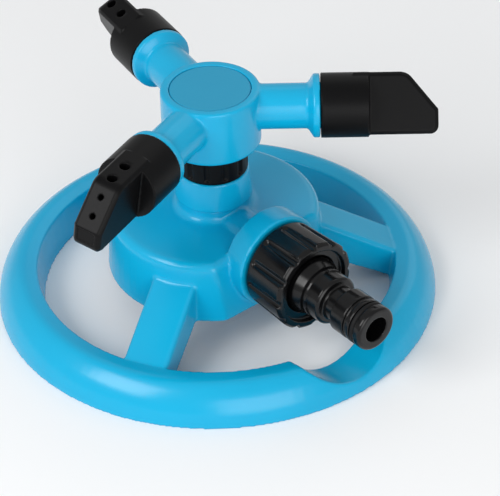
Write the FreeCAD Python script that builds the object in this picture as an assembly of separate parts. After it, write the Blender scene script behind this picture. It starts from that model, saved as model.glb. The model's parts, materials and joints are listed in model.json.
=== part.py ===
import FreeCAD, Part
import math
import os

from FreeCAD import Placement, Rotation, Vector

os.makedirs("parts", exist_ok=True)

# Three-arm rotary lawn sprinkler, in millimetres.
# +Z is up. The origin is the centre of the base ring, on the ground.
# Azimuths are degrees from +X towards +Y.

# ---- base moulding -------------------------------------------------------
RING_RADIUS = 80.0
RING_INNER_RADIUS = 63.0
RING_FLANK_RADIUS = 16.0
RING_CREST_RADIUS = 5.0
RING_FLANK_END = 55.0
RING_CREST_END = 100.0
RING_INNER_EDGE = 65.2
WALL = 2.2

SPOKE_AZIMUTHS = (6.5, 126.5, 246.5)
SPOKE_WIDTH = 16.3
SPOKE_DRUM_TOP = (37.0, 29.3)
SPOKE_RING_TOP = (66.0, 12.6)
SPOKE_RING_FOOT = 2.0
SPOKE_EDGE_RADIUS = 1.6
SPOKE_START = 30.0
SPOKE_ROOF = 2.5

DRUM_BOTTOM = 14.0
DRUM_RADIUS = 39.2
DRUM_SHOULDER_RADIUS = 37.5
DRUM_TOP = 37.0
DRUM_EDGE_RADIUS = 3.2
DRUM_TOP_RISE = 1.2
NECK_FILLET = 2.6
RIB_THICKNESS = 2.0
NECK_RADIUS = 13.0
NECK_TOP = 42.5

# ---- hose inlet ----------------------------------------------------------
INLET_AZIMUTH = -52.0
INLET_HEIGHT = 31.3
FACET_FOOT = 32.6
FACET_HEAD = 29.0
BOSS_RADIUS = 17.3
BOSS_START = 26.5
BOSS_END = 35.6
INLET_THREAD_RADIUS = 13.2
INLET_THREAD_END = 46.5
INLET_BORE_RADIUS = 7.5
SADDLE_RADIUS = 21.5
SADDLE_INNER_DEPTH = 2.4
SADDLE_OUTER_DEPTH = 5.6

NUT_START = 36.2
NUT_END = 54.8
NUT_BACK_RADIUS = 16.1
NUT_FRONT_RADIUS = 16.8
NUT_CHAMFER = 0.9
NUT_GROOVES = 12
NUT_GROOVE_RADIUS = 1.7
NUT_GROOVE_START = 39.4
NUT_WEB = (50.7, 52.9)
NUT_HOLE_RADIUS = 10.9
NUT_RECESS_RADIUS = 13.9
INLET_WASHER_THICKNESS = 1.8
INLET_WASHER_HOLE = 7.5
FLANGE_RADIUS = 12.2
FLANGE_THICKNESS = 2.2
NIPPLE_NECK_GAP = 0.3
NIPPLE_NECK_END = 54.2
NIPPLE_CONE_END = 57.6
NIPPLE_SHOULDER = (9.2, 59.4)
NIPPLE_BARREL = (9.0, 65.2)
NIPPLE_WAIST_RADIUS = 6.4
NIPPLE_WAIST = (66.0, 71.4)
NIPPLE_COLLAR_END = 77.6
NIPPLE_STEP = (7.2, 79.0)
NIPPLE_TIP = 86.2
NIPPLE_TIP_ROUND = 1.2
NIPPLE_RADIUS = 8.2
NIPPLE_BORE_RADIUS = 4.6
NIPPLE_RING_GROOVE = (80.8, 83.0)
NIPPLE_RING_SECTION = 1.05

# ---- turning joint -------------------------------------------------------
SPIGOT_RADIUS = 10.5
SPIGOT_TOP = 50.0
RISER_RADIUS = 11.2
COLLAR_BASE_RADIUS = 14.0
COLLAR_TOP_RADIUS = 12.7
COLLAR_TOP = 53.6
COLLAR_LEDGE = 55.0
COLLAR_THREAD_RADIUS = 10.4
COLLAR_THREAD_TOP = 60.0
COLLAR_CAVITY_RADIUS = 8.9
CAP_NUT_RADIUS = 12.5
CAP_NUT_TOP = 64.2
CAP_NUT_LIP = 55.0
CAP_NUT_GROOVES = 12
CAP_NUT_GROOVE_RADIUS = 1.2
SPINDLE_RADIUS = 6.5
SPINDLE_BORE_RADIUS = 4.5
SPINDLE_BOTTOM = 44.0
SPINDLE_TOP = 73.0
SPINDLE_FLANGE_RADIUS = 8.6
SPINDLE_FLANGE = (56.4, 58.6)
SPINDLE_COLLAR = (64.5, 7.6)
SPINDLE_RING_GROOVE = (46.2, 47.9)
SPINDLE_RING_SECTION = 0.75
RUNNING = 0.05

# ---- rotor ---------------------------------------------------------------
HUB_RADIUS = 17.5
HUB_BOTTOM = 65.2
HUB_TOP = 86.6
HUB_FLOOR = 68.2
HUB_CAVITY_RADIUS = 12.8
HUB_SOCKET_RADIUS = 9.2
CAP_DISC_RADIUS = 14.4
CAP_DISC_THICKNESS = 2.2
ARM_AZIMUTHS = (-2.0, 118.0, 238.0)
ARM_HEIGHT = 78.5
ARM_RADIUS = 8.0
ARM_BORE_RADIUS = 5.2
ARM_CONE_START = 33.8
ARM_CONE_END = 35.8
ARM_RIM_END = 38.0
ARM_RIM_RADIUS = 11.2
ARM_SPIGOT_RADIUS = 7.6
ARM_SPIGOT_END = 51.0
ARM_BEAD = (48.2, 49.4)
ARM_BEAD_HEIGHT = 0.3
ARM_RING_GROOVE = (43.6, 45.5)
ARM_RING_SECTION = 0.85

NOZZLE_RADIUS = 11.35
NOZZLE_START = 38.3
NOZZLE_SHOULDER = 54.9
NOZZLE_END = 78.9
NOZZLE_BLADE = 10.6
NOZZLE_BLADE_BEVEL = 1.1
NOZZLE_LAND_START = 49.6
NOZZLE_LAND = 11.2
NOZZLE_ROLLS = (33.0, 26.0, 9.0)
BLADE_BOTTOM = -10.5
SLOPE_TOP = (69.5, 9.6)
SLOPE_FOOT = (78.3, -1.2)
NOZZLE_SOCKET_END = 51.6
CHANNEL_WIDTH = 6.2
CHANNEL_LEVELS = (-7.2, -2.4)
PLUG_LENGTH = 3.6
LAND_JETS = ((57.4, 1.75), (65.0, 1.75))
SLOPE_JETS = ((3.0, 0.95), (9.8, 0.95))


def at(radius, height):
    """A point in the XZ half plane."""
    return Vector(radius, 0, height)


def outline(start, steps):
    """Face in the XZ half plane: a step is a point, or (via, point) for an arc."""
    edges = []
    here = start
    for step in steps + [start]:
        if isinstance(step[0], tuple):
            edges.append(Part.Arc(at(*here), at(*step[0]), at(*step[1])).toShape())
            here = step[1]
        else:
            edges.append(Part.LineSegment(at(*here), at(*step)).toShape())
            here = step
    return Part.Face(Part.Wire(edges))


def turned(start, steps):
    """Solid of revolution about Z from a half section."""
    return outline(start, steps).revolve(Vector(0, 0, 0), Vector(0, 0, 1), 360)


def tube(outer, inner, low, high):
    """Plain round tube about Z."""
    return turned((inner, low), [(outer, low), (outer, high), (inner, high)])


def rod(radius, low, high):
    """Plain round rod about Z."""
    return Part.makeCylinder(radius, high - low, Vector(0, 0, low))


def lay_radial(shape, azimuth, height):
    """Turn a shape made about Z so that Z points outwards at an azimuth."""
    turn = Rotation(Vector(0, 0, 1), azimuth) * Rotation(Vector(0, 1, 0), 90)
    placed = shape.copy()
    placed.Placement = Placement(Vector(0, 0, height), turn) * shape.Placement
    return placed


def at_inlet(shape):
    """Place a shape made about Z on the inlet's axis."""
    return lay_radial(shape, INLET_AZIMUTH, INLET_HEIGHT)


def spun(shape, azimuth):
    """Turn a shape about Z."""
    placed = shape.copy()
    placed.rotate(Vector(0, 0, 0), Vector(0, 0, 1), azimuth)
    return placed


def rounded(shape, radius, chosen):
    """Round the edges that a test picks by their middle point and length."""
    edges = [edge for edge in shape.Edges if chosen(edge)]
    return shape.makeFillet(radius, edges)


def middle(edge):
    """Point half way along an edge."""
    return edge.valueAt((edge.FirstParameter + edge.LastParameter) / 2)


def single(shape):
    """The one solid of a boolean result."""
    cleaned = shape.removeSplitter()
    return max(cleaned.Solids, key=lambda solid: solid.Volume)


def export(shape, node):
    solid = single(shape)
    solid.exportStep("parts/" + node + ".step")
    print(node, "valid", solid.isValid(), "volume", round(solid.Volume, 1), "solids", len(shape.Solids))


# ---- base ----------------------------------------------------------------
def ring_section(inset):
    """Dome section of the ring, moved inwards by a wall thickness."""
    flank_x = RING_RADIUS - RING_FLANK_RADIUS
    flank = RING_FLANK_RADIUS - inset
    crest = RING_CREST_RADIUS - inset
    end = math.radians(RING_FLANK_END)
    step = RING_FLANK_RADIUS - RING_CREST_RADIUS
    crest_x = flank_x + step * math.cos(end)
    crest_z = step * math.sin(end)

    def on_flank(angle):
        return (flank_x + flank * math.cos(angle), flank * math.sin(angle))

    def on_crest(angle):
        return (crest_x + crest * math.cos(angle), crest_z + crest * math.sin(angle))

    last = math.radians(RING_CREST_END)
    slope = math.tan(last - math.pi / 2)
    top = on_crest(last)
    edge_x = RING_INNER_EDGE + inset
    edge = (edge_x, top[1] - (top[0] - edge_x) * slope)
    foot = RING_INNER_RADIUS + inset
    return outline(
        (foot, 0),
        [
            on_flank(0),
            (on_flank(end / 2), on_flank(end)),
            (on_crest((end + last) / 2), top),
            edge,
        ],
    )


def full_turn(face):
    return face.revolve(Vector(0, 0, 0), Vector(0, 0, 1), 360)


def spoke(width, drop, inner, outer):
    """One spoke along +X: a bar whose top slopes from the drum to the ring."""
    slope = (SPOKE_RING_TOP[1] - SPOKE_DRUM_TOP[1]) / (SPOKE_RING_TOP[0] - SPOKE_DRUM_TOP[0])

    def top(radius):
        return SPOKE_DRUM_TOP[1] - drop + (radius - SPOKE_DRUM_TOP[0]) * slope

    foot_slope = (SPOKE_RING_FOOT - DRUM_BOTTOM) / (RING_INNER_RADIUS - DRUM_RADIUS)

    def foot(radius):
        return DRUM_BOTTOM + (radius - DRUM_RADIUS) * foot_slope - (1.0 if drop else 0.0)

    bend = DRUM_RADIUS - 1
    corners = [
        (inner, DRUM_BOTTOM - (1.0 if drop else 0.0)),
        (bend, foot(bend) if drop else DRUM_BOTTOM),
        (outer, foot(outer)),
        (outer, top(outer)),
        (inner, top(inner)),
    ]
    side = Part.Face(Part.makePolygon([Vector(x, -width / 2, z) for x, z in corners + corners[:1]]))
    return side.extrude(Vector(0, width, 0))


def drum_section(inset):
    """Half section of the drum up to the neck."""
    bottom = DRUM_BOTTOM - (1.0 if inset else 0.0)
    draft = (DRUM_RADIUS - DRUM_SHOULDER_RADIUS) / (DRUM_TOP - DRUM_BOTTOM)
    top = DRUM_TOP - inset
    shoulder = DRUM_RADIUS - draft * (top - DRUM_BOTTOM) - inset
    return turned(
        (0, bottom),
        [
            (DRUM_RADIUS - inset + draft * (DRUM_BOTTOM - bottom), bottom),
            (shoulder, top),
            (NECK_RADIUS, top + DRUM_TOP_RISE),
            (0, top + DRUM_TOP_RISE),
        ],
    )


def facet(shift):
    """Block that cuts the flat facet at the inlet, made along +X."""
    high = DRUM_TOP + 30
    lean = (FACET_HEAD - FACET_FOOT) / (DRUM_TOP - DRUM_BOTTOM)
    head = FACET_FOOT + lean * (high - DRUM_BOTTOM) - shift
    foot = FACET_FOOT - lean * DRUM_BOTTOM - shift
    corners = [(foot, 0), (80, 0), (80, high), (head, high)]
    side = Part.Face(Part.makePolygon([Vector(x, -60, z) for x, z in corners + corners[:1]]))
    return side.extrude(Vector(0, 120, 0))


def saddle(radius):
    """Cylinder that hollows the ring under the hose, made along +X."""
    run = RING_RADIUS - RING_INNER_RADIUS
    rise = SADDLE_OUTER_DEPTH - SADDLE_INNER_DEPTH
    along = Vector(run, 0, rise).normalize()
    across = Vector(-along.z, 0, along.x)
    foot = Vector(RING_INNER_RADIUS, 0, SADDLE_INNER_DEPTH)
    start = foot + across * SADDLE_RADIUS - along * 12
    return Part.makeCylinder(radius, 45, start, along)


def make_base_frame():
    """Ring, spokes, drum, inlet and neck: one hollow moulding, open below."""
    drum = single(drum_section(0).cut(spun(facet(0), INLET_AZIMUTH)))

    def drum_edges(edge):
        spot = middle(edge)
        return spot.z > DRUM_BOTTOM + 1 and math.hypot(spot.x, spot.y) > NECK_RADIUS + 2

    drum = rounded(drum, DRUM_EDGE_RADIUS, drum_edges)
    under_drum = Part.makeBox(300, 300, 100, Vector(-150, -150, DRUM_BOTTOM - 100))
    boss = at_inlet(rod(BOSS_RADIUS, BOSS_START, BOSS_END)).cut(under_drum)
    ring = full_turn(ring_section(0)).cut(spun(saddle(SADDLE_RADIUS), INLET_AZIMUTH))
    body = single(drum.fuse(rod(NECK_RADIUS, DRUM_BOTTOM + 5, NECK_TOP)))

    def neck_root(edge):
        return 38 < middle(edge).z < 38.5 and edge.Length > 6 * NECK_RADIUS

    body = rounded(body, NECK_FILLET, neck_root)
    body = single(body.fuse(boss))
    body = body.fuse(ring)
    for azimuth in SPOKE_AZIMUTHS:
        bar = spoke(SPOKE_WIDTH, 0, SPOKE_START, SPOKE_RING_TOP[0])
        bar = rounded(bar, SPOKE_EDGE_RADIUS, lambda edge: middle(edge).z > 18 and edge.Length > 30)
        body = body.fuse(spun(bar, azimuth))
    body = single(body)

    body = body.cut(drum_section(WALL).cut(spun(facet(WALL), INLET_AZIMUTH)))
    saddle_floor = spun(saddle(SADDLE_RADIUS + WALL), INLET_AZIMUTH)
    body = body.cut(full_turn(ring_section(WALL)).cut(saddle_floor))
    for azimuth in SPOKE_AZIMUTHS:
        bar_hollow = spoke(SPOKE_WIDTH - 2 * WALL, SPOKE_ROOF, SPOKE_START, SPOKE_RING_TOP[0] + 3)
        body = body.cut(spun(bar_hollow, azimuth))
    boss_hollow = at_inlet(rod(BOSS_RADIUS - WALL, BOSS_START - 4, BOSS_END - WALL))
    above_drum = Part.makeBox(300, 300, 60, Vector(-150, -150, DRUM_TOP - WALL))
    body = single(body.cut(boss_hollow.cut(above_drum)))

    pipe_radius = INLET_BORE_RADIUS + WALL
    water_way = at_inlet(rod(pipe_radius, 0, BOSS_END))
    water_way = water_way.fuse(rod(RISER_RADIUS, INLET_HEIGHT - pipe_radius - 1, NECK_TOP - 2))
    water_way = water_way.fuse(at_inlet(rod(INLET_THREAD_RADIUS, BOSS_END - 1, INLET_THREAD_END)))
    water_way = water_way.fuse(rod(SPIGOT_RADIUS, NECK_TOP - 1, SPIGOT_TOP))
    for turn in (90, 180, 270):
        rib = Part.makeBox(DRUM_SHOULDER_RADIUS - RISER_RADIUS, RIB_THICKNESS, DRUM_TOP - DRUM_BOTTOM - 4)
        rib.translate(Vector(RISER_RADIUS - 1, -RIB_THICKNESS / 2, DRUM_BOTTOM + 3))
        water_way = water_way.fuse(spun(rib, INLET_AZIMUTH + turn))
    body = body.fuse(water_way)

    bores = at_inlet(rod(INLET_BORE_RADIUS, 0, INLET_THREAD_END + 1))
    bores = bores.fuse(rod(INLET_BORE_RADIUS - 1.5, INLET_HEIGHT, SPINDLE_BOTTOM))
    bores = bores.fuse(rod(SPINDLE_RADIUS + RUNNING, SPINDLE_BOTTOM - 0.5, SPIGOT_TOP + 1))
    return body.cut(bores)


# ---- turning joint -------------------------------------------------------
def make_bearing_collar():
    """Blue collar pressed on the neck; its top carries the cap nut."""
    outside = turned(
        (0, NECK_TOP),
        [
            (COLLAR_BASE_RADIUS, NECK_TOP),
            (COLLAR_TOP_RADIUS, COLLAR_TOP),
            (COLLAR_THREAD_RADIUS, COLLAR_TOP),
            (COLLAR_THREAD_RADIUS, COLLAR_THREAD_TOP),
            (0, COLLAR_THREAD_TOP),
        ],
    )
    outside = rounded(outside, 0.7, lambda edge: edge.Length > 6 * COLLAR_TOP_RADIUS)
    inside = rod(SPIGOT_RADIUS, NECK_TOP - 1, SPIGOT_TOP)
    inside = inside.fuse(rod(SPINDLE_RADIUS + 0.3, SPIGOT_TOP - 1, COLLAR_LEDGE + 1))
    inside = inside.fuse(rod(COLLAR_CAVITY_RADIUS, COLLAR_LEDGE, COLLAR_THREAD_TOP + 1))
    return outside.cut(inside)


def make_retaining_nut():
    """Black ribbed cap nut round the spindle."""
    outside = rod(CAP_NUT_RADIUS, COLLAR_TOP, CAP_NUT_TOP)
    outside = rounded(outside, 0.5, lambda edge: edge.Length > 6 * CAP_NUT_RADIUS)
    groove = rod(CAP_NUT_GROOVE_RADIUS, CAP_NUT_LIP, CAP_NUT_TOP + 1)
    groove.translate(Vector(CAP_NUT_RADIUS + 0.45, 0, 0))
    for index in range(CAP_NUT_GROOVES):
        outside = outside.cut(spun(groove, index * 360 / CAP_NUT_GROOVES + 20))
    inside = rod(COLLAR_THREAD_RADIUS, COLLAR_TOP - 1, COLLAR_THREAD_TOP + RUNNING)
    return outside.cut(inside.fuse(rod(SPINDLE_RADIUS + RUNNING, COLLAR_TOP, CAP_NUT_TOP + 1)))


def make_thrust_washer(low, high):
    return tube(COLLAR_CAVITY_RADIUS - 0.1, SPINDLE_RADIUS + 0.2, low, high)


def make_spindle():
    """Hollow shaft: sealed tail, thrust flange, and a top pressed in the hub."""
    low, high = SPINDLE_FLANGE
    seal_low, seal_high = SPINDLE_RING_GROOVE
    seal_floor = SPINDLE_RADIUS - 2 * SPINDLE_RING_SECTION
    collar_low, collar_radius = SPINDLE_COLLAR
    return turned(
        (SPINDLE_BORE_RADIUS, SPINDLE_BOTTOM),
        [
            (SPINDLE_RADIUS, SPINDLE_BOTTOM),
            (SPINDLE_RADIUS, seal_low),
            (seal_floor, seal_low),
            (seal_floor, seal_high),
            (SPINDLE_RADIUS, seal_high),
            (SPINDLE_RADIUS, low),
            (SPINDLE_FLANGE_RADIUS, low),
            (SPINDLE_FLANGE_RADIUS, high),
            (SPINDLE_RADIUS, high),
            (SPINDLE_RADIUS, collar_low),
            (collar_radius, collar_low),
            (collar_radius, HUB_BOTTOM),
            (SPINDLE_RADIUS, HUB_BOTTOM),
            (SPINDLE_RADIUS, SPINDLE_TOP),
            (SPINDLE_BORE_RADIUS, SPINDLE_TOP),
        ],
    )


def make_seal(outer, section, groove):
    """O-ring about Z, flush with the shaft, in the middle of its groove."""
    ring = Part.makeTorus(outer - section, section)
    ring.translate(Vector(0, 0, sum(groove) / 2))
    return ring


# ---- inlet ---------------------------------------------------------------
def make_inlet_nut():
    """Black union nut with rounded grooves that run out at its front rim."""
    outside = turned(
        (0, NUT_START),
        [
            (NUT_BACK_RADIUS - NUT_CHAMFER, NUT_START),
            (NUT_BACK_RADIUS, NUT_START + NUT_CHAMFER),
            (NUT_FRONT_RADIUS, NUT_END - NUT_CHAMFER),
            (NUT_FRONT_RADIUS - NUT_CHAMFER, NUT_END),
            (0, NUT_END),
        ],
    )
    groove = rod(NUT_GROOVE_RADIUS, NUT_GROOVE_START, NUT_END + 5)
    groove = groove.fuse(Part.makeSphere(NUT_GROOVE_RADIUS, Vector(0, 0, NUT_GROOVE_START)))
    groove.translate(Vector(NUT_FRONT_RADIUS + 0.3, 0, 0))
    for index in range(NUT_GROOVES):
        outside = outside.cut(spun(groove, index * 360 / NUT_GROOVES))
    inside = rod(INLET_THREAD_RADIUS + RUNNING, NUT_START - 1, NUT_WEB[0])
    inside = inside.fuse(rod(NUT_HOLE_RADIUS, NUT_START, NUT_END + 1))
    inside = inside.fuse(rod(NUT_RECESS_RADIUS, NUT_WEB[1], NUT_END + 1))
    return at_inlet(single(outside.cut(inside)))


def make_inlet_washer():
    end = INLET_THREAD_END + INLET_WASHER_THICKNESS
    return at_inlet(tube(FLANGE_RADIUS, INLET_WASHER_HOLE, INLET_THREAD_END, end))


def make_inlet_nipple():
    """Quick-connect nipple: flange, cone, shoulder, waist, collar and end ring."""
    foot = INLET_THREAD_END + INLET_WASHER_THICKNESS
    neck = NUT_HOLE_RADIUS - NIPPLE_NECK_GAP
    shoulder_radius, shoulder_end = NIPPLE_SHOULDER
    barrel_radius, barrel_end = NIPPLE_BARREL
    waist_low, waist_high = NIPPLE_WAIST
    step_radius, step_end = NIPPLE_STEP
    ring_low, ring_high = NIPPLE_RING_GROOVE
    ring_floor = NIPPLE_RADIUS - 2 * NIPPLE_RING_SECTION
    nipple = turned(
        (NIPPLE_BORE_RADIUS, foot),
        [
            (FLANGE_RADIUS, foot),
            (FLANGE_RADIUS, foot + FLANGE_THICKNESS),
            (neck, foot + FLANGE_THICKNESS),
            (neck, NIPPLE_NECK_END),
            (shoulder_radius, NIPPLE_CONE_END),
            (shoulder_radius, shoulder_end),
            (barrel_radius, shoulder_end),
            (barrel_radius, barrel_end),
            (NIPPLE_RADIUS, waist_low),
            (NIPPLE_WAIST_RADIUS, waist_low),
            (NIPPLE_WAIST_RADIUS, waist_high),
            (NIPPLE_RADIUS, waist_high),
            (NIPPLE_RADIUS, NIPPLE_COLLAR_END),
            (step_radius, NIPPLE_COLLAR_END),
            (step_radius, step_end),
            (NIPPLE_RADIUS, step_end),
            (NIPPLE_RADIUS, ring_low),
            (ring_floor, ring_low),
            (ring_floor, ring_high),
            (NIPPLE_RADIUS, ring_high),
            (NIPPLE_RADIUS, NIPPLE_TIP),
            (NIPPLE_BORE_RADIUS, NIPPLE_TIP),
        ],
    )

    def outer_rim(edge):
        return edge.CenterOfMass.z > NIPPLE_TIP - 0.1 and edge.Length > 40

    return at_inlet(rounded(nipple, NIPPLE_TIP_ROUND, outer_rim))


def make_nipple_o_ring():
    return at_inlet(make_seal(NIPPLE_RADIUS, NIPPLE_RING_SECTION, NIPPLE_RING_GROOVE))


# ---- rotor ---------------------------------------------------------------
def make_rotor_hub():
    """Hub and three arms: one hollow moulding."""
    hub = rod(HUB_RADIUS, HUB_BOTTOM, HUB_TOP)
    hub = rounded(hub, 1.0, lambda edge: edge.Length > 6 * HUB_RADIUS)
    arm = turned(
        (0, 5),
        [
            (ARM_RADIUS, 5),
            (ARM_RADIUS, ARM_CONE_START),
            (ARM_RIM_RADIUS, ARM_CONE_END),
            (ARM_RIM_RADIUS, ARM_RIM_END),
            (ARM_SPIGOT_RADIUS, ARM_RIM_END),
            (ARM_SPIGOT_RADIUS, ARM_RING_GROOVE[0]),
            (ARM_SPIGOT_RADIUS - 2 * ARM_RING_SECTION, ARM_RING_GROOVE[0]),
            (ARM_SPIGOT_RADIUS - 2 * ARM_RING_SECTION, ARM_RING_GROOVE[1]),
            (ARM_SPIGOT_RADIUS, ARM_RING_GROOVE[1]),
            (ARM_SPIGOT_RADIUS, ARM_BEAD[0]),
            (ARM_SPIGOT_RADIUS + ARM_BEAD_HEIGHT, ARM_BEAD[0]),
            (ARM_SPIGOT_RADIUS + ARM_BEAD_HEIGHT, ARM_BEAD[1]),
            (ARM_SPIGOT_RADIUS, ARM_BEAD[1]),
            (ARM_SPIGOT_RADIUS, ARM_SPIGOT_END),
            (0, ARM_SPIGOT_END),
        ],
    )
    body = hub
    for azimuth in ARM_AZIMUTHS:
        body = body.fuse(lay_radial(arm, azimuth, ARM_HEIGHT))
    body = single(body)
    cavity = rod(HUB_CAVITY_RADIUS, HUB_FLOOR, HUB_TOP + 1)
    cavity = cavity.cut(rod(HUB_SOCKET_RADIUS, HUB_FLOOR - 1, SPINDLE_TOP))
    cavity = cavity.fuse(rod(CAP_DISC_RADIUS, HUB_TOP - CAP_DISC_THICKNESS, HUB_TOP + 1))
    cavity = cavity.fuse(rod(SPINDLE_RADIUS, HUB_BOTTOM - 1, SPINDLE_TOP + 0.5))
    for azimuth in ARM_AZIMUTHS:
        cavity = cavity.fuse(lay_radial(rod(ARM_BORE_RADIUS, 8, ARM_SPIGOT_END + 1), azimuth, ARM_HEIGHT))
    return body.cut(cavity)


def make_hub_cap():
    """Round disc that closes the hub, level with its rim."""
    disc = rod(CAP_DISC_RADIUS - 0.1, HUB_TOP - CAP_DISC_THICKNESS, HUB_TOP - 0.2)
    return rounded(disc, 0.4, lambda edge: edge.CenterOfMass.z > HUB_TOP - 1)


def along_arm(shape, azimuth, roll):
    """Place a nozzle piece: made along +X with its jets up, then rolled on the arm."""
    placed = shape.copy()
    placed.rotate(Vector(0, 0, 0), Vector(1, 0, 0), -roll)
    placed.translate(Vector(0, 0, ARM_HEIGHT))
    return spun(placed, azimuth)


def make_nozzle():
    """Nozzle at rest along +X: round socket, flat blade and a row of jets."""
    turn = lay_radial(rod(NOZZLE_RADIUS, NOZZLE_START, NOZZLE_SHOULDER), 0, 0)
    side = outline(
        (NOZZLE_LAND_START, BLADE_BOTTOM),
        [
            (NOZZLE_END - 3.0, BLADE_BOTTOM),
            ((NOZZLE_END - 0.9, -9.7), (NOZZLE_END, -7.6)),
            (NOZZLE_END, -2.4),
            ((NOZZLE_END - 0.1, -1.8), SLOPE_FOOT),
            SLOPE_TOP,
            ((67.7, 10.8), (65.3, NOZZLE_LAND)),
            (NOZZLE_LAND_START, NOZZLE_LAND),
        ],
    )
    blade = side.extrude(Vector(0, NOZZLE_BLADE, 0))
    blade.translate(Vector(0, -NOZZLE_BLADE / 2, 0))

    def long_edges(edge):
        spot = middle(edge)
        return abs(abs(spot.y) - NOZZLE_BLADE / 2) < 0.01 and spot.x > NOZZLE_LAND_START + 1

    blade = blade.makeChamfer(NOZZLE_BLADE_BEVEL, [edge for edge in blade.Edges if long_edges(edge)])
    body = single(turn.fuse(blade))
    socket = lay_radial(rod(ARM_SPIGOT_RADIUS + RUNNING, NOZZLE_START - 1, NOZZLE_SOCKET_END), 0, 0)
    snap = rod(ARM_SPIGOT_RADIUS + ARM_BEAD_HEIGHT + RUNNING, ARM_BEAD[0] - 0.3, ARM_BEAD[1] + 0.3)
    socket = socket.fuse(lay_radial(snap, 0, 0))
    low, high = CHANNEL_LEVELS
    channel = Part.makeBox(
        NOZZLE_END - NOZZLE_SOCKET_END + 2,
        CHANNEL_WIDTH,
        high - low,
        Vector(NOZZLE_SOCKET_END - 1, -CHANNEL_WIDTH / 2, low),
    )
    body = body.cut(socket.fuse(channel))
    for station, radius in LAND_JETS:
        reach = NOZZLE_LAND - (low + high) / 2
        body = body.cut(Part.makeCylinder(radius, reach + 1, Vector(station, 0, NOZZLE_LAND - reach)))
    fall = Vector(SLOPE_FOOT[0] - SLOPE_TOP[0], 0, SLOPE_FOOT[1] - SLOPE_TOP[1]).normalize()
    inwards = Vector(fall.z, 0, -fall.x)
    for distance, radius in SLOPE_JETS:
        mouth = Vector(SLOPE_TOP[0], 0, SLOPE_TOP[1]) + fall * distance
        reach = (mouth.z - (low + high) / 2) / -inwards.z
        body = body.cut(Part.makeCylinder(radius, reach + 1, mouth - inwards, inwards))
    return single(body)


def make_nozzle_plug():
    """Block that closes the channel at the nozzle's tip."""
    low, high = CHANNEL_LEVELS
    corner = Vector(NOZZLE_END - PLUG_LENGTH, -CHANNEL_WIDTH / 2, low)
    return Part.makeBox(PLUG_LENGTH - 0.2, CHANNEL_WIDTH, high - low, corner)


def make_arm_o_ring(azimuth):
    return lay_radial(make_seal(ARM_SPIGOT_RADIUS, ARM_RING_SECTION, ARM_RING_GROOVE), azimuth, ARM_HEIGHT)


export(make_base_frame(), "base_frame")
export(make_bearing_collar(), "bearing_collar")
export(make_retaining_nut(), "retaining_nut")
export(make_thrust_washer(COLLAR_LEDGE, SPINDLE_FLANGE[0] - RUNNING), "lower_thrust_washer")
export(make_thrust_washer(SPINDLE_FLANGE[1] + RUNNING, COLLAR_THREAD_TOP), "upper_thrust_washer")
export(make_spindle(), "spindle")
export(make_seal(SPINDLE_RADIUS, SPINDLE_RING_SECTION, SPINDLE_RING_GROOVE), "spindle_o_ring")
export(make_inlet_nut(), "inlet_nut")
export(make_inlet_washer(), "inlet_washer")
export(make_inlet_nipple(), "inlet_nipple")
export(make_nipple_o_ring(), "nipple_o_ring")
export(make_rotor_hub(), "rotor_hub")
export(make_hub_cap(), "hub_cap")
for number, (arm_azimuth, nozzle_roll) in enumerate(zip(ARM_AZIMUTHS, NOZZLE_ROLLS), 1):
    export(along_arm(make_nozzle(), arm_azimuth, nozzle_roll), f"nozzle_{number}")
    export(along_arm(make_nozzle_plug(), arm_azimuth, nozzle_roll), f"nozzle_plug_{number}")
    export(make_arm_o_ring(arm_azimuth), f"arm_o_ring_{number}")
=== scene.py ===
import json
import math

import bmesh
import bpy
from mathutils import Matrix, Vector


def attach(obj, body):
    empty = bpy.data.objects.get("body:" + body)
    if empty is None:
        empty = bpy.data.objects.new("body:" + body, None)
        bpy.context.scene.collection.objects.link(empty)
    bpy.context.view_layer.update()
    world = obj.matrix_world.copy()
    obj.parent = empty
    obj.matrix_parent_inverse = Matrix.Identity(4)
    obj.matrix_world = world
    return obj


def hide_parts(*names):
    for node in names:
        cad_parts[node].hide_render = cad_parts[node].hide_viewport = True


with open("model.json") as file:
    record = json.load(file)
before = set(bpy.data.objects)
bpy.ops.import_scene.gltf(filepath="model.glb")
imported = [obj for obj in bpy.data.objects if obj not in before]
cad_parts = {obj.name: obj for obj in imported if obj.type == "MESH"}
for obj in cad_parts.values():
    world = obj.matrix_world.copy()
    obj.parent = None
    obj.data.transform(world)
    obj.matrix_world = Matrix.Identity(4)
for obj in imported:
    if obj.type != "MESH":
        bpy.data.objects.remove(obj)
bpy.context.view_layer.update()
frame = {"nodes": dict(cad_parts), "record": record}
MM = 0.001


# ---- sizes, in millimetres ----------------------------------------------
BASE_VOXEL = 0.55
HUB_VOXEL = 0.42
BLACK_VOXEL = 0.30
EDGE_PASSES = 3
EDGE_PULL = 0.5
WELD_GAP = 0.002

# Grain of the moulds, drawn coarser than a real mould's, which is too fine to show.
FLOW_RIPPLE = 26.0
GLOSS_GRAIN = 1.4
SATIN_GRAIN = 0.55
RUBBER_GRAIN = 0.7

CAMERA_LENS = 170.1
CAMERA_DISTANCE = 845.65
CAMERA_ELEVATION = 35.94
CAMERA_ROLL = -2.1
CAMERA_TARGET_HEIGHT = 40.0
CAMERA_SHIFT = (0.0721, -0.1031)
SENSOR_WIDTH = 36.0
FLOOR_SIZE = 6000.0
FLOOR_ROUGHNESS = 0.9

# ---- lights, in metres and watts ----------------------------------------
LIGHT_AIM = Vector((0, 0, 0.04))
LIGHTS = (
    ("key", (-0.75, -0.55, 0.75), 0.6, 7.5),
    ("fill", (0.35, -1.1, 0.35), 0.8, 6.5),
    ("back", (0.5, 0.8, 0.8), 0.9, 1.5),
)
WORLD_STRENGTH = 0.55

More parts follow.
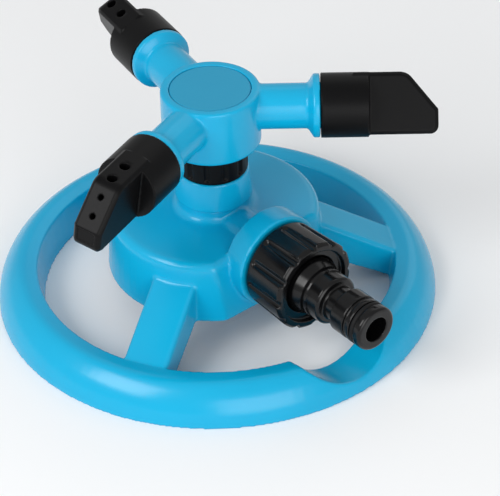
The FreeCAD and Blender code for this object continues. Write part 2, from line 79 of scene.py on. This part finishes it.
# ---- colours, sRGB -------------------------------------------------------
GLOSS_BLUE = "08A6D0"
GLOSS_BLUE_DEEP = "069EC9"
# Hub disc blue: the same blue plastic, greyed by painted reflection of the pale surroundings above
# it.
REFLECTION_GREYED_BLUE = "1F97BD"
REFLECTION_GREYED_BLUE_DEEP = "1B90B6"
SATIN_BLACK = "070708"
SATIN_BLACK_PALE = "0A0A0B"
SEAL_BLACK = "0E0E0F"
SEAL_BLACK_PALE = "141415"
ACETAL_WHITE = "E6E5DF"
ACETAL_WHITE_WARM = "DEDCD4"
FLOOR_WHITE = "F4F5F6"


def linear(hex_colour):
    """sRGB hex to linear RGBA, by the sRGB standard's own curve."""
    channels = [int(hex_colour[i:i + 2], 16) / 255 for i in (0, 2, 4)]
    return [
        c / 12.92 if c <= 0.04045 else ((c + 0.055) / 1.055) ** 2.4
        for c in channels
    ] + [1.0]


# ---- materials -----------------------------------------------------------
def add(material, kind, settings, links):
    """Add one node with its settings (properties or socket values) and its links."""
    tree = material.node_tree
    node = tree.nodes.new(kind)
    for key, value in settings.items():
        if isinstance(key, int) or key in node.inputs:
            node.inputs[key].default_value = value
        else:
            setattr(node, key, value)
    for key, source in links.items():
        tree.links.new(source, node.inputs[key])
    return node


# How far the grain carries a moulded surface's gloss from its mean, and its relief's strength.
GLOSS_LOW = 0.85
GLOSS_HIGH = 1.2
RELIEF_STRENGTH = 0.35
FLOW_DETAIL = 2.0
GRAIN_DETAIL = 4.0


def moulded(name, light, deep, roughness, grain, depth, specular, ior):
    """A moulded surface: slow flow ripple in the colour, the mould's grain in gloss and relief."""
    material = bpy.data.materials.new(name)
    material.use_nodes = True
    material.node_tree.nodes.clear()
    place = add(material, "ShaderNodeTexCoord", {}, {}).outputs["Object"]
    flow = add(
        material,
        "ShaderNodeTexNoise",
        {"Scale": 1 / (FLOW_RIPPLE * MM), "Detail": FLOW_DETAIL},
        {"Vector": place},
    )
    pits = add(
        material,
        "ShaderNodeTexNoise",
        {"Scale": 1 / (grain * MM), "Detail": GRAIN_DETAIL},
        {"Vector": place},
    )
    colour = add(
        material,
        "ShaderNodeMix",
        {"data_type": "RGBA", 6: linear(light), 7: linear(deep)},
        {0: flow.outputs["Fac"]},
    )
    gloss = add(
        material,
        "ShaderNodeMapRange",
        {"To Min": roughness * GLOSS_LOW, "To Max": roughness * GLOSS_HIGH},
        {"Value": pits.outputs["Fac"]},
    )
    relief = add(
        material,
        "ShaderNodeBump",
        {"Strength": RELIEF_STRENGTH, "Distance": depth * MM},
        {"Height": pits.outputs["Fac"]},
    )
    shader = add(
        material,
        "ShaderNodeBsdfPrincipled",
        {"IOR": ior, "Specular IOR Level": specular},
        {
            "Base Color": colour.outputs[2],
            "Roughness": gloss.outputs["Result"],
            "Normal": relief.outputs["Normal"],
        },
    )
    add(material, "ShaderNodeOutputMaterial", {}, {"Surface": shader.outputs["BSDF"]})
    return material


# ABS from a polished mould: even cyan with clean, slightly broad highlights.
abs_gloss = moulded(
    "abs_gloss_injection_moulded",
    light=GLOSS_BLUE,
    deep=GLOSS_BLUE_DEEP,
    roughness=0.22,
    grain=GLOSS_GRAIN,
    depth=0.012,
    specular=0.34,
    ior=1.53,
)
# ABS from a finely etched mould: the hub's disc is duller than the rest, and its greyer colour is
# painted reflection of the pale surroundings it faces.
abs_etched_and_painted_reflection = moulded(
    "etched_abs_with_painted_reflection",
    light=REFLECTION_GREYED_BLUE,
    deep=REFLECTION_GREYED_BLUE_DEEP,
    roughness=0.40,
    grain=GLOSS_GRAIN,
    depth=0.02,
    specular=0.28,
    ior=1.53,
)
# Polypropylene from a spark-eroded mould: near black, with a soft satin glow.
polypropylene = moulded(
    "polypropylene_satin_injection_moulded",
    light=SATIN_BLACK,
    deep=SATIN_BLACK_PALE,
    roughness=0.38,
    grain=SATIN_GRAIN,
    depth=0.03,
    specular=0.12,
    ior=1.49,
)
# Polypropylene from a polished mould: the nut and the nipple carry sharp, bright highlights.
polypropylene_gloss = moulded(
    "polypropylene_gloss_injection_moulded",
    light=SATIN_BLACK,
    deep=SATIN_BLACK_PALE,
    roughness=0.2,
    grain=GLOSS_GRAIN,
    depth=0.012,
    specular=0.32,
    ior=1.49,
)
# Nitrile rubber, compression moulded: dull black.
nitrile = moulded(
    "nitrile_compression_moulded",
    light=SEAL_BLACK,
    deep=SEAL_BLACK_PALE,
    roughness=0.62,
    grain=RUBBER_GRAIN,
    depth=0.03,
    specular=0.2,
    ior=1.52,
)
# Acetal, injection moulded: milky white and waxy.
acetal = moulded(
    "acetal_injection_moulded",
    light=ACETAL_WHITE,
    deep=ACETAL_WHITE_WARM,
    roughness=0.32,
    grain=GLOSS_GRAIN,
    depth=0.01,
    specular=0.4,
    ior=1.48,
)

SLOT_MATERIAL = {
    "blue_plastic": abs_gloss,
    "black_plastic": polypropylene,
    "rubber": nitrile,
    "bearing_plastic": acetal,
}

# ---- pieces --------------------------------------------------------------
BODIES = frame["record"]["behaviour"]["bodies"]
BODY_OF = {node: body for body, nodes in BODIES.items() for node in nodes}
SLOT_OF = {part["node"]: part["material_slot"] for part in frame["record"]["subparts"]}


def finish_in(piece, material):
    """Give a piece one material."""
    piece.data.materials.clear()
    piece.data.materials.append(material)


def applied(piece):
    """Turn a piece's modifiers into its mesh."""
    graph = bpy.context.evaluated_depsgraph_get()
    shaped = bpy.data.meshes.new_from_object(piece.evaluated_get(graph))
    piece.modifiers.clear()
    piece.data = shaped


def softened(node, voxel, material):
    """The node's own form, with its edges and inside corners rounded as a mould leaves them."""
    mesh = bpy.data.meshes.new(node + "_form")
    form = bmesh.new()
    form.from_mesh(frame["nodes"][node].data)
    bmesh.ops.remove_doubles(form, verts=form.verts, dist=WELD_GAP * MM)
    form.to_mesh(mesh)
    form.free()
    piece = bpy.data.objects.new(node + "_moulding", mesh)
    bpy.context.scene.collection.objects.link(piece)
    remesh = piece.modifiers.new("remesh", "REMESH")
    remesh.mode = "VOXEL"
    remesh.voxel_size = voxel * MM
    smooth = piece.modifiers.new("smooth", "SMOOTH")
    smooth.factor = EDGE_PULL
    smooth.iterations = EDGE_PASSES
    applied(piece)
    piece.data.shade_smooth()
    finish_in(piece, material)
    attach(piece, BODY_OF[node])
    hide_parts(node)
    return piece


softened("base_frame", BASE_VOXEL, abs_gloss)
softened("bearing_collar", BLACK_VOXEL, abs_gloss)
softened("rotor_hub", HUB_VOXEL, abs_gloss)
softened("hub_cap", BLACK_VOXEL, abs_etched_and_painted_reflection)
for name in ("inlet_nut", "inlet_nipple"):
    softened(name, BLACK_VOXEL, polypropylene_gloss)
for name in ("retaining_nut", "nozzle_1", "nozzle_2", "nozzle_3"):
    softened(name, BLACK_VOXEL, polypropylene)

for name, node in frame["nodes"].items():
    if not node.hide_render:
        finish_in(node, SLOT_MATERIAL[SLOT_OF[name]])


# ---- floor, light and camera --------------------------------------------
def make_floor():
    """A plain pale floor under the ring."""
    half = FLOOR_SIZE * MM / 2
    mesh = bpy.data.meshes.new("floor")
    edge = [(-half, -half, 0), (half, -half, 0), (half, half, 0), (-half, half, 0)]
    mesh.from_pydata(edge, [], [(0, 1, 2, 3)])
    floor = bpy.data.objects.new("floor", mesh)
    bpy.context.scene.collection.objects.link(floor)
    paper = bpy.data.materials.new("paper_matt_backdrop")
    paper.use_nodes = True
    shader = paper.node_tree.nodes["Principled BSDF"]
    shader.inputs["Base Color"].default_value = linear(FLOOR_WHITE)
    shader.inputs["Roughness"].default_value = FLOOR_ROUGHNESS
    mesh.materials.append(paper)


def make_light(name, place, size, power):
    """A soft square light that faces the sprinkler."""
    data = bpy.data.lights.new(name, "AREA")
    data.size = size
    data.energy = power
    light = bpy.data.objects.new(name, data)
    light.location = place
    light.rotation_mode = "QUATERNION"
    light.rotation_quaternion = (LIGHT_AIM - Vector(place)).to_track_quat("-Z", "Y")
    bpy.context.scene.collection.objects.link(light)


def make_camera():
    """The camera looks along +Y and down, turned a little about its own axis."""
    tilt = math.radians(CAMERA_ELEVATION)
    roll = math.radians(CAMERA_ROLL)
    ahead = Vector((0, math.cos(tilt), -math.sin(tilt)))
    level = Vector((1, 0, 0))
    upright = level.cross(ahead)
    right = level * math.cos(roll) + upright * math.sin(roll)
    up = upright * math.cos(roll) - level * math.sin(roll)
    place = Vector((0, 0, CAMERA_TARGET_HEIGHT * MM)) - ahead * CAMERA_DISTANCE * MM
    data = bpy.data.cameras.new("camera")
    data.lens = CAMERA_LENS
    data.sensor_width = SENSOR_WIDTH
    data.shift_x, data.shift_y = CAMERA_SHIFT
    camera = bpy.data.objects.new("camera", data)
    turn = Matrix((right, up, -ahead)).transposed()
    camera.matrix_world = Matrix.Translation(place) @ turn.to_4x4()
    bpy.context.scene.collection.objects.link(camera)
    bpy.context.scene.camera = camera


make_floor()
for light in LIGHTS:
    make_light(*light)
world = bpy.data.worlds.new("studio")
world.use_nodes = True
world.node_tree.nodes["Background"].inputs["Color"].default_value = (1, 1, 1, 1)
world.node_tree.nodes["Background"].inputs["Strength"].default_value = WORLD_STRENGTH
bpy.context.scene.world = world
bpy.context.scene.view_settings.view_transform = "Standard"
make_camera()
